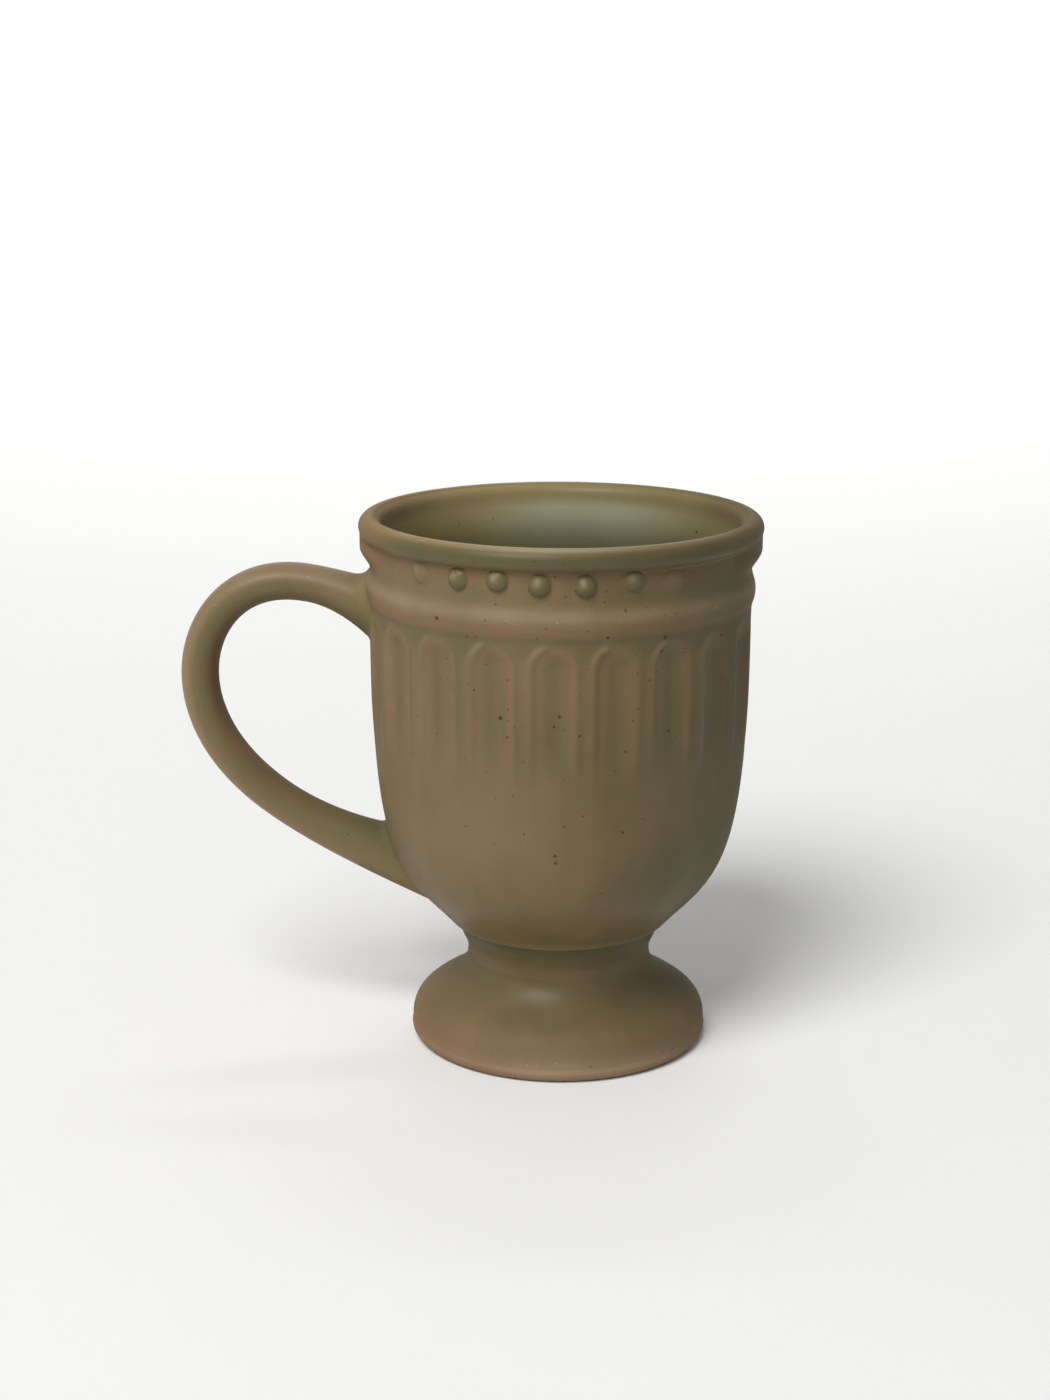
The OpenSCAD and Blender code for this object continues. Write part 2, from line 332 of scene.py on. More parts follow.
def joined(sections, reach, longest):
    """Rows of a turned form from its parts, each with a kind, softened as one path."""
    path, kinds = [], []
    for part, kind in sections:
        path += part if not path else part[1:]
        kinds.append((even(part, 5 * OUTLINE_STEP), kind))
    soft = softened(path, OUTLINE_STEP, reach)
    rows = []
    for i in thinned(soft, longest):
        nearest = min(kinds, key=lambda m: min((p - soft[i]).length for p in m[0]))
        rows.append((soft[i], nearest[1]))
    return rows


def near(value, centre, width):
    """1 where the value is at the centre, falling softly to 0 a width away."""
    return math.exp(-(((value - centre) / width) ** 2))


def ramp(value, low, high):
    """0 below the low value and 1 above the high one, with a soft rise between them."""
    t = max(0.0, min(1.0, (value - low) / (high - low)))
    return t * t * (3 - 2 * t)


def mesh_object(name, points, faces, marks):
    """A smooth mesh object at the origin, with what the glaze does and the light and shade painted at each
    point as attributes.
    """
    mesh = bpy.data.meshes.new(name)
    mesh.from_pydata(points, [], faces)
    for key in marks[0]:
        values = [mark[key] for mark in marks]
        mesh.attributes.new(key, "FLOAT", "POINT").data.foreach_set("value", values)
    mesh.shade_smooth()
    mesh.update()
    thing = bpy.data.objects.new(name, mesh)
    bpy.context.scene.collection.objects.link(thing)
    return thing


def strip(low, high, sides):
    """The faces between two rings of a skin, each given by its first point."""
    faces = []
    for j in range(sides):
        k = (j + 1) % sides
        faces.append((low + j, low + k, high + k, high + j))
    return faces


def fan(middle, ring, sides):
    """The faces that close a ring on one point. They turn as the ring does."""
    return [(middle, ring + j, ring + (j + 1) % sides) for j in range(sides)]


def flipped(faces):
    """The same faces, looking the other way."""
    return [(face[0], *face[:0:-1]) for face in faces]


def lathe(name, rows, sides):
    """Turns a profile about the mug's axis. A row is a point, and what the glaze does and the light and shade
    painted there.
    """
    points, marks, faces, rings = [], [], [], []
    for (radius, z), mark in rows:
        pole = radius < 1e-6
        rings.append((len(points), pole))
        for j in range(1 if pole else sides):
            a = 2 * math.pi * j / sides
            points.append((radius * math.sin(a), -radius * math.cos(a), z))
            marks.append(mark)
    for (low, low_pole), (high, high_pole) in zip(rings[:-1], rings[1:]):
        if low_pole:
            faces += flipped(fan(low, high, sides))
        elif high_pole:
            faces += fan(high, low, sides)
        else:
            faces += strip(low, high, sides)
    return mesh_object(name, points, faces, marks)


def plain(label):
    """A label as the name of the size that it stands for."""
    return label.lower().replace(" ", "_")


class Value:
    """What a node gives. A sum of values is written as a sum of numbers is, and adds its nodes."""

    def __init__(self, nodes, socket):
        self.nodes = nodes
        self.socket = socket

    def __add__(self, other):
        return self.nodes.sum("ADD", self, other)

    def __sub__(self, other):
        return self.nodes.sum("SUBTRACT", self, other)

    def __rsub__(self, other):
        return self.nodes.sum("SUBTRACT", other, self)

    def __mul__(self, other):
        return self.nodes.sum("MULTIPLY", self, other)

    def __truediv__(self, other):
        return self.nodes.sum("DIVIDE", self, other)

    def __rtruediv__(self, other):
        return self.nodes.sum("DIVIDE", other, self)

    def __abs__(self):
        return self.nodes.sum("ABSOLUTE", self)

    __radd__ = __add__
    __rmul__ = __mul__

    def at_least(self, other):
        return self.nodes.sum("MAXIMUM", self, other)

    def span(self, low, high, first=0.0, last=1.0, kind="SMOOTHSTEP"):
        """Goes from the first number to the last one while this value goes from low to high."""
        ends = {"Value": self, "From Min": low, "From Max": high, "To Min": first, "To Max": last}
        return self.nodes.give("ShaderNodeMapRange", ends, "Result", interpolation_type=kind)

    def bump(self, centre, width):
        """1 where this value is at the centre, falling softly to 0 a width away."""
        off = (self - centre) / width
        return self.nodes.sum("EXPONENT", off * off * -1.0)


class Nodes:
    """Adds nodes to a tree and joins them. What goes in is a value, a number or a colour."""

    def __init__(self, tree):
        self.tree = tree
        self.made = 0

    def add(self, kind, values=None, **settings):
        node = self.tree.nodes.new(kind)
        node.location = (220 * (self.made // 5), -180 * (self.made % 5))
        self.made += 1
        for key, value in settings.items():
            setattr(node, key, value)
        for key, value in (values or {}).items():
            self.put(node.inputs[key], value)
        return node

    def give(self, kind, values=None, output=0, **settings):
        """Adds a node and gives one of its outputs."""
        return Value(self, self.add(kind, values, **settings).outputs[output])

    def give_all(self, kind, values=None, **settings):
        """Adds a node and gives all its outputs, each under its own name."""
        outputs = self.add(kind, values, **settings).outputs
        return SimpleNamespace(**{plain(socket.name): Value(self, socket) for socket in outputs})

    def put(self, socket, value):
        if isinstance(value, Value):
            self.tree.links.new(value.socket, socket)
        else:
            socket.default_value = value

    def sum(self, operation, *values):
        return self.give("ShaderNodeMath", dict(enumerate(values)), operation=operation)

    def parts(self, place):
        """The three numbers of a place: to the right, to the back and up."""
        parts = self.give_all("ShaderNodeSeparateXYZ", {0: place})
        return parts.x, parts.y, parts.z

    def vector(self, x, y, z):
        return self.give("ShaderNodeCombineXYZ", {0: x, 1: y, 2: z})

    def mix(self, factor, a, b, blend="MIX"):
        node = self.add("ShaderNodeMix", data_type="RGBA", blend_type=blend)
        for index, value in ((0, factor), (6, a), (7, b)):
            is_colour = index and not isinstance(value, Value)
            self.put(node.inputs[index], (*value, 1) if is_colour else value)
        return Value(self, node.outputs[2])


def new_tree(name, sizes, counts):
    """A geometry tree with named inputs, a way to add nodes to it, and what its inputs give."""
    tree = bpy.data.node_groups.new(name, "GeometryNodeTree")
    tree.interface.new_socket("Geometry", in_out="INPUT", socket_type="NodeSocketGeometry")
    for kind, labels in (("NodeSocketFloat", sizes), ("NodeSocketInt", counts)):
        for label in labels:
            tree.interface.new_socket(label, in_out="INPUT", socket_type=kind)
    tree.interface.new_socket("Geometry", in_out="OUTPUT", socket_type="NodeSocketGeometry")
    n = Nodes(tree)
    return tree, n, n.give_all("NodeGroupInput")


def end_tree(n, geometry, material):
    real = n.give("GeometryNodeRealizeInstances", {"Geometry": geometry})
    done = n.give("GeometryNodeSetMaterial", {"Geometry": real, "Material": material})
    n.add("NodeGroupOutput", {"Geometry": done})


def grown(thing, tree, group, **worked_out):
    """Runs a geometry tree on an object, with a group's sizes, and keeps the result as a plain mesh."""
    modifier = thing.modifiers.new(tree.name, "NODES")
    modifier.node_group = tree
    for item in tree.interface.items_tree:
        if item.in_out == "INPUT" and item.socket_type != "NodeSocketGeometry":
            key = plain(item.name)
            modifier[item.identifier] = worked_out[key] if key in worked_out else getattr(group, key)
    bpy.context.view_layer.update()
    graph = bpy.context.evaluated_depsgraph_get()
    mesh = bpy.data.meshes.new_from_object(
        thing.evaluated_get(graph), preserve_all_data_layers=True, depsgraph=graph
    )
    thing.modifiers.remove(modifier)
    old = thing.data
    thing.data = mesh
    bpy.data.meshes.remove(old)
    mesh.name = thing.name
    mesh.shade_smooth()


def piece(thing, node):
    """Sets a finished piece to move with its body, and hides the CAD part that it stands for."""
    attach(thing, BODY)
    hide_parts(node)


def new_material(name):
    """A material with no nodes yet, and a way to add them."""
    material = bpy.data.materials.new(name)
    material.use_nodes = True
    material.node_tree.nodes.clear()
    return material, Nodes(material.node_tree)


def attribute(n, name):
    return n.give("ShaderNodeAttribute", output="Fac", attribute_name=name, attribute_type="GEOMETRY")


def noise(n, place, scale, detail):
    return n.give("ShaderNodeTexNoise", {"Vector": place, "Scale": scale, "Detail": detail}, "Fac")


def specks(n, place, held_share, cells, radius, shift):
    """Round spots: a share of the cells of a random pattern hold one."""
    moved = n.give("ShaderNodeVectorMath", {0: place, 1: shift}, operation="ADD")
    cell = n.give_all("ShaderNodeTexVoronoi", {"Vector": moved, "Scale": cells, "Randomness": 1.0})
    chance = n.give_all("ShaderNodeSeparateColor", {"Color": cell.color})
    held = n.sum("LESS_THAN", chance.red, held_share)
    size = chance.green.span(0.0, 1.0, radius * cells * 0.4, radius * cells, "LINEAR")
    return held * cell.distance.span(size * 0.55, size * 1.25, 1.0, 0.0)


def marks_by_side(n, marks, place):
    """Changes the marks by the side of the mug that a point is on."""
    aside, along, up = n.parts(place)
    # The cup and the pedestal are drier towards their two sides, and the handle isn't
    out = n.sum("SQRT", aside * aside + along * along)
    side = (abs(aside) / out.at_least(MM)).span(0.7, 0.97) * out.span(45.2 * MM, 47 * MM, 1.0, 0.0)
    marks.dry = marks.dry.at_least(side * 0.65)
    # Near the table the glaze turns to rust at the two sides, and keeps its pale only near x = 8 mm, across
    # the front and the back
    burnt = abs(aside).span(20 * MM, 33 * MM) * up.span(4 * MM, 13 * MM, 1.0, 0.0)
    marks.rust = marks.rust.at_least(burnt * 0.85)
    off = abs(aside - 8 * MM).span(12 * MM, 27 * MM)
    marks.pale = marks.pale * (1.0 - off * up.span(8 * MM, 14 * MM, 0.7, 0.0))


def glaze_colour(n, marks, place, cloud, grain, colours):
    """The colour of the glaze without its specks: where it is thin, thick, run together or broken, and the
    highlights, reflection and shade that its marks paint.
    """
    aside, along, up = n.parts(place)
    upright = n.give("ShaderNodeMapping", {"Vector": place, "Scale": (1, 1, 0.25)})
    streak = noise(n, upright, scale=190.0, detail=2.0)
    breaks = noise(n, upright, scale=120.0, detail=3.0)
    # Towards the handle, at the left, the glaze is browner and lighter, and at the right it is darker
    drift = aside.span(-22 * MM, 42 * MM, 0.16, -0.16)
    lean = (cloud * 1.1 + streak * 0.6 - marks.green + drift).span(0.4, 1.35)
    tone = n.mix(lean, colours.olive, colours.tan)
    # The pool is partly glaze run together and partly painted shade
    tone = n.mix(marks.pool * 0.75, tone, colours.pool)
    # Inside, a cool painted reflection lies in the middle, with browner glaze at the two sides and on the far
    # rim, and painted shade deepens towards the floor
    middle = abs(aside - 5 * MM).span(6 * MM, 32 * MM, 1.0, 0.0)
    far_rim = up.span(116 * MM, 120 * MM) * along.span(0.0, 20 * MM)
    painted_inside_sheen = n.mix(middle * (1.0 - far_rim), colours.moss, colours.sage)
    tone = n.mix(marks.inside * 0.8, tone, n.mix(marks.sunk * 0.75, painted_inside_sheen, colours.pool))
    # The lip is warm at the left, and a cool painted highlight lies on its middle
    khaki = n.mix(aside.bump(2 * MM, 18 * MM) * 0.6, colours.khaki, colours.sage)
    tone = n.mix(marks.lip * (drift * 1.6 + 0.65), tone, khaki)
    # The pale is partly thin glaze and partly painted highlight
    tone = n.mix(marks.pale * breaks.span(0.35, 0.65, 0.62, 0.9), tone, colours.pale)
    broken = marks.rust * (breaks + drift * 0.5).span(0.34, 0.68, 0.3, 0.95)
    tone = n.mix(broken, tone, colours.rust)
    # Lighter at the left and darker at the right, with random changes of tone
    tint = grain.span(0.3, 0.7, 0.98, 1.02) + cloud.span(0.3, 0.7, -0.04, 0.04) + drift * 1.1
    grey = n.give("ShaderNodeCombineColor", {0: tint, 1: tint, 2: tint})
    return n.mix(1.0, tone, grey, "MULTIPLY")


def glaze(name, colours):
    """The mottled reactive glaze, with painted light and shade. What the points of a mesh say of it is in its
    marks.
    """
    material, n = new_material(name)
    place = n.give("ShaderNodeTexCoord", output="Object")
    marks = SimpleNamespace(**{key: attribute(n, key) for key in MARKS})
    marks_by_side(n, marks, place)
    cloud = noise(n, place, scale=34.0, detail=3.0)
    grain = noise(n, place, scale=1500.0, detail=2.0)
    tone = glaze_colour(n, marks, place, cloud, grain, colours)

    # The specks crowd together on the front of the bowl
    crowd_middle = (0.0, -41 * MM, 84 * MM)
    from_crowd = n.give("ShaderNodeVectorMath", {0: place, 1: crowd_middle}, "Value", operation="DISTANCE")
    crowd = from_crowd.span(10 * MM, 44 * MM, 1.0, 0.16)
    large = specks(n, place, crowd * 0.85, cells=230.0, radius=0.53 * MM, shift=(0.013, 0.031, 0.007))
    small = specks(n, place, crowd * 0.62, cells=480.0, radius=0.31 * MM, shift=(0.071, 0.003, 0.045))
    spots = large.at_least(small * 0.75) * (1.0 - marks.bare)
    tone = n.mix(spots * 0.93, tone, colours.speck)
    # Painted glints: tiny bright spots where the glaze is pale
    bright = marks.pale * 0.5
    glints = specks(n, place, bright, cells=900.0, radius=0.13 * MM, shift=(0.005, 0.021, 0.017))
    tone = n.mix(glints * 0.6, tone, colours.glint)
    tone = n.mix(marks.bare, tone, colours.clay)

    dull = (cloud + grain * 0.4).span(0.4, 1.0, 0.38, 0.46) + (marks.bare + marks.dry) * 0.45
    wave = noise(n, place, scale=95.0, detail=1.0)
    height = wave + grain * 0.025 - spots * 0.04
    skin = n.give("ShaderNodeBump", {"Height": height, "Strength": 1.0, "Distance": 0.35 * MM})
    surface = {"Base Color": tone, "Roughness": dull, "Normal": skin, "IOR": 1.45, "Specular IOR Level": 0.22}
    n.add("ShaderNodeOutputMaterial", {"Surface": n.give("ShaderNodeBsdfPrincipled", surface)})
    return material


def stored(n, geometry, name, value):
    stores = {"Geometry": geometry, "Name": name, "Value": value}
    return n.give("GeometryNodeStoreNamedAttribute", stores, data_type="FLOAT", domain="POINT")


def named(n, name):
    return n.give("GeometryNodeInputNamedAttribute", {"Name": name}, data_type="FLOAT")


def pushed_out(n, geometry, x, y, distance):
    """Moves the points of a geometry away from the mug's axis."""
    push = distance / n.sum("SQRT", x * x + y * y)
    offset = n.vector(x * push, y * push, 0.0)
    return n.give("GeometryNodeSetPosition", {"Geometry": geometry, "Offset": offset})


def flute_tree(material):
    """Presses the flutes into the wall, marks where the glaze breaks and where it pools, and paints a
    highlight on the arches' shoulders.
    """
    sizes = ("Wall", "Width", "Depth", "Hollow", "Top", "Bottom", "Fade", "Edge", "Roll", "Roll width")
    tree, n, given = new_tree("Flutes", sizes, ["Number"])
    x, y, z = n.parts(n.give("GeometryNodeInputPosition"))
    round_it = n.sum("ARCTAN2", x, y * -1.0)
    half_pitch = math.pi / given.number
    across = n.sum("WRAP", round_it, half_pitch, half_pitch * -1.0) * given.wall
    half = given.width * 0.5
    above = (z - (given.top - half)).at_least(0.0)
    # How far a point is within the outline of its flute
    within = half - n.sum("SQRT", across * across + above * above)

    live = named(n, "outside") * z.span(given.bottom, given.bottom + given.fade)
    right = across.span(-2.4 * MM, 1.8 * MM)
    left = 1.0 - right
    arch = above.span(0.0, 3.6 * MM)
    # The light strikes one slope of a flute, and the glaze has filled the other more
    half_edge = given.edge * right.span(0.0, 1.0, 0.45, 1.0)
    sunk = within.span(half_edge * -0.6, half_edge * 1.4)
    middle = within.span(0.0, half)
    roll = within.bump(given.roll_width * -0.75, given.roll_width)
    depth = sunk * given.depth + middle * given.hollow
    # The mould is crispest at the front
    front = abs(round_it - 0.07).span(0.24, 0.8, 1.0, 0.4)
    soft = 1.0 - arch * right.span(0.0, 1.0, 1.0 - front * 0.85, 0.7)
    relief = (roll * given.roll - depth) * live * soft
    moved = pushed_out(n, given.geometry, x, y, relief)
    # The mould parts at the two sides, so the hollow under the lip is filled there
    at_side = abs(n.sum("SINE", round_it))
    moved = pushed_out(n, moved, x, y, named(n, "fill") * at_side.span(0.88, 0.985))

    # The glaze ran to one side: it breaks along the right edge of a flute and pools beside it
    right_rust = within.bump(0.35 * MM, 0.7 * MM) * right.span(0.0, 1.0, 0.25, 0.95) * (1.0 - arch * 0.6)
    right_rust = right_rust * round_it.span(-1.35, -0.5, 0.35, 1.0)
    left_rust = within.bump(0.9 * MM, 0.9 * MM) * left * 0.2
    groove = within.bump(-0.8 * MM, 0.6 * MM) * right * 0.5
    floor = across.bump(-0.7 * MM, 1.6 * MM) * within.span(0.5 * MM, 2 * MM) * 0.5
    spandrel = within.span(-0.6 * MM, -2.2 * MM) * arch * 0.6
    # A painted highlight on the upper left shoulder of each arch, strongest at the front
    shoulder_highlight = arch * front * across.span(-2.9 * MM, -1.2 * MM, 1.0, 0.0)
    added = {
        "rust": right_rust.at_least(left_rust),
        "pool": groove.at_least(floor).at_least(spandrel),
        "pale": within.bump(-0.7 * MM, 0.7 * MM) * left * shoulder_highlight.span(0.0, 1.0, 0.1, 0.45),
    }
    for key, mark in added.items():
        moved = stored(n, moved, key, named(n, key).at_least(mark * live))
    # At the two sides the rim has the brown of the frieze
    brown = named(n, "rim") * at_side.span(0.72, 0.97)
    moved = stored(n, moved, "pool", named(n, "pool") * (1.0 - brown * 0.9))
    moved = stored(n, moved, "inside", named(n, "inside") * (1.0 - brown * 0.8))
    moved = stored(n, moved, "rust", named(n, "rust").at_least(brown * 0.45))
    end_tree(n, moved, material)
    return tree


def random_value(n, index, low, high, seed_value):
    """A random number for each point, between two numbers."""
    node = n.add("FunctionNodeRandomValue", data_type="FLOAT")
    for label, value in (("Min", low), ("Max", high), ("ID", index), ("Seed", seed_value)):
        n.put(next(socket for socket in node.inputs if socket.name == label and socket.enabled), value)
    return Value(n, next(socket for socket in node.outputs if socket.enabled))


def bead_tree(material):
    """Sets beads round the frieze, each a little off its place and its size."""
    sizes = ("Wall", "Height", "Turn", "Aside", "Lift", "Crispest", "Flattening", "Sinking")
    tree, n, given = new_tree("Beads", sizes, ("Number", "Aside seed", "Lift seed", "Size seed"))
    index = n.give("GeometryNodeInputIndex")
    aside = given.aside * random_value(n, index, -1.0, 1.0, given.aside_seed) / given.wall
    turned = given.turn + index * (2 * math.pi / given.number) + aside
    height = given.height + given.lift * random_value(n, index, -1.0, 1.0, given.lift_seed)
    worn = abs(n.sum("SINE", turned - given.crispest)).span(0.3, 0.82)
    radius = given.wall - worn.span(0.75, 1.0, 0.0, given.sinking)
    place = n.vector(radius * n.sum("SINE", turned), radius * n.sum("COSINE", turned) * -1.0, height)
    points = n.give("GeometryNodePoints", {"Count": given.number, "Position": place})
    points = stored(n, points, "worn", worn)
    size = random_value(n, index, 0.95, 1.04, given.size_seed)
    bead = {
        "Points": points,
        "Instance": given.geometry,
        "Rotation": n.give("FunctionNodeEulerToRotation", {0: n.vector(0.0, 0.0, turned)}),
        "Scale": n.vector(size, size * (1.0 - worn * given.flattening), size),
    }
    real = n.give("GeometryNodeRealizeInstances", {"Geometry": n.give("GeometryNodeInstanceOnPoints", bead)})
    # The flattest beads have lost their green and taken the khaki of the lip
    worn = named(n, "worn")
    khaki = named(n, "green") * worn * worn.span(0.75, 1.0, 1.2, 0.0)
    real = stored(n, real, "lip", khaki)
    real = stored(n, real, "rust", named(n, "rust").at_least(worn * 0.42))
    # The flattest beads also lose the painted shadow and painted highlight that the pool and pale carry
    for key, lost in (("pool", 0.95), ("pale", 0.85), ("green", 1.0)):
        real = stored(n, real, key, named(n, key) * (1.0 - worn * lost))
    end_tree(n, real, material)
    return tree


def bowl_levels(s):
    """The heights and radii that the bowl and what sits on it share."""
    frieze_top = s.height - s.lip_drop
    torus_top = frieze_top - s.frieze
    return SimpleNamespace(
        wall=s.rim_radius - s.lip_out,
        lip=Vector((s.rim_radius - s.lip_radius, s.height - s.lip_radius)),
        frieze_top=frieze_top,
        torus_top=torus_top,
        torus_low=torus_top - s.torus,
    )


def inner_side(outline, wall):
    """The inner side of a wall, from the outline of its outer side."""
    inner = []
    for a, b, c in zip(outline[:-2], outline[1:-1], outline[2:]):
        along = (c - a).normalized()
        inner.append(b + wall * Vector((-along.y, along.x)))
    return inner


def bowl_outline(s, at):
    """The bowl's profile in parts, from the pole under its base, up the outside and down to the floor."""
    belly_span = (at.wall - s.base_radius, at.torus_low - s.straight - s.base_z)
    belly = curve(laid(BELLY, (s.base_radius, s.base_z), belly_span), steps=90)
    under = [Vector((0, s.base_z)), Vector((s.base_radius - 0.3 * MM, s.base_z))]
    torus = []
    half_steps = 12
    for i in range(-half_steps, half_steps + 1):
        k = i / half_steps
        torus.append(Vector((at.wall + s.torus_proud * (1 - k * k), at.torus_low + s.torus * (k + 1) / 2)))
    lip = arc(at.lip, s.lip_radius, first=-50, last=180, steps=46)
    start = Vector((at.wall, at.frieze_top))
    cove = curve(laid(COVE, start, lip[0] - start), steps=14)[::-1]

    top = Vector((at.wall - s.wall, at.torus_top))
    shoulder = curve(laid(SHOULDER, top, Vector((at.lip.x - s.lip_radius, at.lip.y)) - top), steps=20)
    # The wall's inner side ends where the round of the floor begins
    floor_starts = 17
    inner = inner_side(belly, s.wall)[floor_starts:][::-1]
    edge = inner[-1]
    lead = (edge - inner[-2]).normalized()
    floor_z = s.base_z + s.floor
    floor = curve([edge, edge + edge.x * 0.15 * lead, (edge.x * 0.5, floor_z), (0, floor_z)], steps=24)
    return [
        (under, "under"),
        (belly + [Vector((at.wall, at.torus_low))], "wall"),
        (torus, "torus"),
        (cove, "cove"),
        (lip, "lip"),
        (shoulder, "inside"),
        (inner, "inside"),
        (floor, "inside"),
    ]


def bowl_marks(p, kind, s, at):
    """What the glaze does at a point of the bowl's profile, and the light and shade painted there."""
    values = {**PLAIN, "outside": 1.0 if kind == "wall" else 0.0, "fill": 0.0, "rim": 0.0}
    up = p.y - at.torus_low
    if kind == "inside":
        deep = at.lip.y - p.y
        values["inside"] = 0.75 + 0.25 * ramp(deep, 0, 3 * MM)
        # Deeper in the cup the colour darkens towards the pool: painted shade
        values["sunk"] = 1.2 * ramp(deep, 1.5 * MM, 14 * MM)
        values["rim"] = 0.6 * (1 - ramp(deep, 0, 4 * MM))
    elif kind == "lip":
        tip = math.degrees(math.atan2(p.y - at.lip.y, p.x - at.lip.x))
        values["lip"] = ramp(tip, 38, 60) * (1 - ramp(tip, 85, 125))
        # Under the lip's edge the pool is partly green glaze and partly painted shade; on the crest the pale
        # is partly thin glaze and partly a painted highlight
        values["pool"] = 1.2 * near(tip, 4, 40)
        values["rim"] = 1 - 0.4 * ramp(tip, 60, 120)
        values["pale"] = 0.5 * near(tip, 84, 16)
        values["inside"] = 0.75 * ramp(tip, 90, 130)
    elif kind in ("torus", "wall"):
        values["rust"] = 0.75 * near(up, 2.0 * MM, 1.3 * MM)
        # The pale on the moulding's top is a painted highlight; the pool just under the moulding is partly
        # glaze run into the corner and partly painted shade
        values["pale"] = 0.55 * near(up, 5.2 * MM, 1.7 * MM) if kind == "torus" else 0.0
        values["pool"] = 0.8 * near(up, -0.2 * MM, 0.9 * MM)
        if p.y < s.base_z + 3 * MM:
            # The pale line along the arris is a painted highlight
            values["pale"] = 0.75 * near(p.y, s.base_z + 0.2 * MM, 0.45 * MM)
    elif kind == "cove":
        values["rust"] = 0.42
        values["pool"] = 0.35 * near(p.y, at.torus_top + 0.4 * MM, 0.8 * MM)
        if p.y > at.frieze_top - MM:
            fade = ramp(p.y, at.frieze_top - 0.6 * MM, at.frieze_top + 1.2 * MM)
            values["rust"] *= 1 - fade
            # Up under the lip the pool is partly glaze and partly painted shade
            values["pool"] = 0.75 * fade
    if at.torus_top < p.y < at.lip.y and p.x > at.wall - MM:
        rise = ramp(p.y, at.torus_top + MM, at.torus_top + 5.7 * MM)
        values["fill"] = max(0.0, at.wall + (s.lip_out - 0.3 * MM) * rise - p.x)
    return values


def bowl_rows(s, f, at):
    """The bowl's profile as rows, each a point, what the glaze does there and the light and shade painted
    there.
    """
    arch_low = at.torus_low - f.gap - f.width / 2 - MM

    def longest(p):
        """The rows are closest where the arches of the flutes are."""
        if p.x < at.wall - s.wall / 2 and p.y > s.base_z + MM:
            return 2.2 * MM
        return 0.5 * MM if p.y > arch_low else 1.15 * MM

    def reach(p):
        if p.x > at.wall - MM:
            corner = max(near(p.y, level, 1.4 * MM) for level in (at.torus_low, at.torus_top))
            return s.softness + (s.torus_softness - s.softness) * corner
        if p.y < s.base_z + 1.5 * MM and p.x > s.base_radius - 1.5 * MM:
            return s.arris_softness
        if p.x < at.lip.x and p.y > at.lip.y - 4 * MM:
            return s.lip_softness
        return s.softness

    rows = joined(bowl_outline(s, at), reach, longest)
    return [(tuple(p), bowl_marks(p, kind, s, at)) for p, kind in rows]


class MUG_OT_bowl(bpy.types.Operator):
    """Make the bowl: a turned cup with a rolled lip, mouldings and flutes"""

    bl_idname = "mug.make_bowl"
    bl_label = "Bowl"

    def execute(self, context):
        s, f = context.scene.mug_bowl, context.scene.mug_flutes
        at = bowl_levels(s)
        thing = lathe("glazed_bowl", bowl_rows(s, f, at), f.number * f.steps)
        tree = flute_tree(glaze("bowl_glaze", context.scene.mug_glaze))
        top = at.torus_low - f.gap
        grown(thing, tree, f, wall=at.wall, top=top, bottom=top - f.run)
        piece(thing, "bowl")
        return {"FINISHED"}


def bead_outline(b):
    """A bead's profile: a cap of a ball, a skirt of glaze round it and an edge inside the frieze."""
    ball = (b.radius ** 2 + b.proud ** 2) / (2 * b.proud)
    tip = math.degrees(math.asin(b.radius / ball))
    cap = arc((0, b.proud - ball), ball, first=90, last=90 - tip * 0.94, steps=12)
    corner, foot = Vector((b.radius, 0)), Vector((b.radius + b.skirt, 0))
    skirt = curve([cap[-1], cap[-1].lerp(corner, 0.8), corner.lerp(foot, 0.3), foot], steps=6)
    return cap + skirt[1:] + [Vector((foot.x, -0.6 * MM))]


def bead_marks(b, p, a, across, up):
    """What the glaze does at a point of a bead's profile, once it is turned by an angle, and the light and
    shade painted there.
    """
    own = ramp(p.y, 0.1 * MM, 0.8 * MM)
    # A painted shadow on the lower side of the bead, round its foot
    below = ramp(-math.cos(a), 0.1, 0.9) * near(p.x, b.radius, 0.9 * MM)
    return {
        **PLAIN,
        "rust": 0.42 * (1 - own),
        "pool": 0.25 * own + 0.6 * below,
        # A painted highlight on the bead's upper left
        "pale": 0.75 * near(math.hypot(across + 0.5 * MM, up - 0.8 * MM), 0, 0.8 * MM),
        "green": 0.4 * own,
    }


class MUG_OT_beads(bpy.types.Operator):
    """Make the ring of beads on the frieze"""

    bl_idname = "mug.make_beads"
    bl_label = "Beads"

    def execute(self, context):
        b = context.scene.mug_beads
        at = bowl_levels(context.scene.mug_bowl)
        sides = 28
        points, marks = [], []
        path = bead_outline(b)
        for i, p in enumerate(path):
            for j in range(1 if i == 0 else sides):
                a = 2 * math.pi * j / sides
                across, up = p.x * math.sin(a), p.x * math.cos(a)
                # The bead's foot follows the round of the frieze
                bow = across * across / (2 * at.wall)
                points.append((across, bow - p.y, up))
                marks.append(bead_marks(b, p, a, across, up))
        rings = [1 + i * sides for i in range(len(path) - 1)]
        faces = flipped(fan(0, rings[0], sides))
        for low, high in zip(rings[:-1], rings[1:]):
            faces += strip(low, high, sides)
        faces.append(tuple(rings[-1] + j for j in range(sides)))
        thing = mesh_object("glazed_beads", points, faces, marks)
        tree = bead_tree(glaze("bead_glaze", context.scene.mug_glaze))
        grown(thing, tree, b, wall=at.wall, height=at.frieze_top - b.drop)
        piece(thing, "beads")
        return {"FINISHED"}


def weld(thing):
    """Joins a turned form's last ring to its first."""
    work = bmesh.new()
    work.from_mesh(thing.data)
    bmesh.ops.remove_doubles(work, verts=work.verts, dist=1e-6)
    work.to_mesh(thing.data)
    work.free()
    thing.data.update()


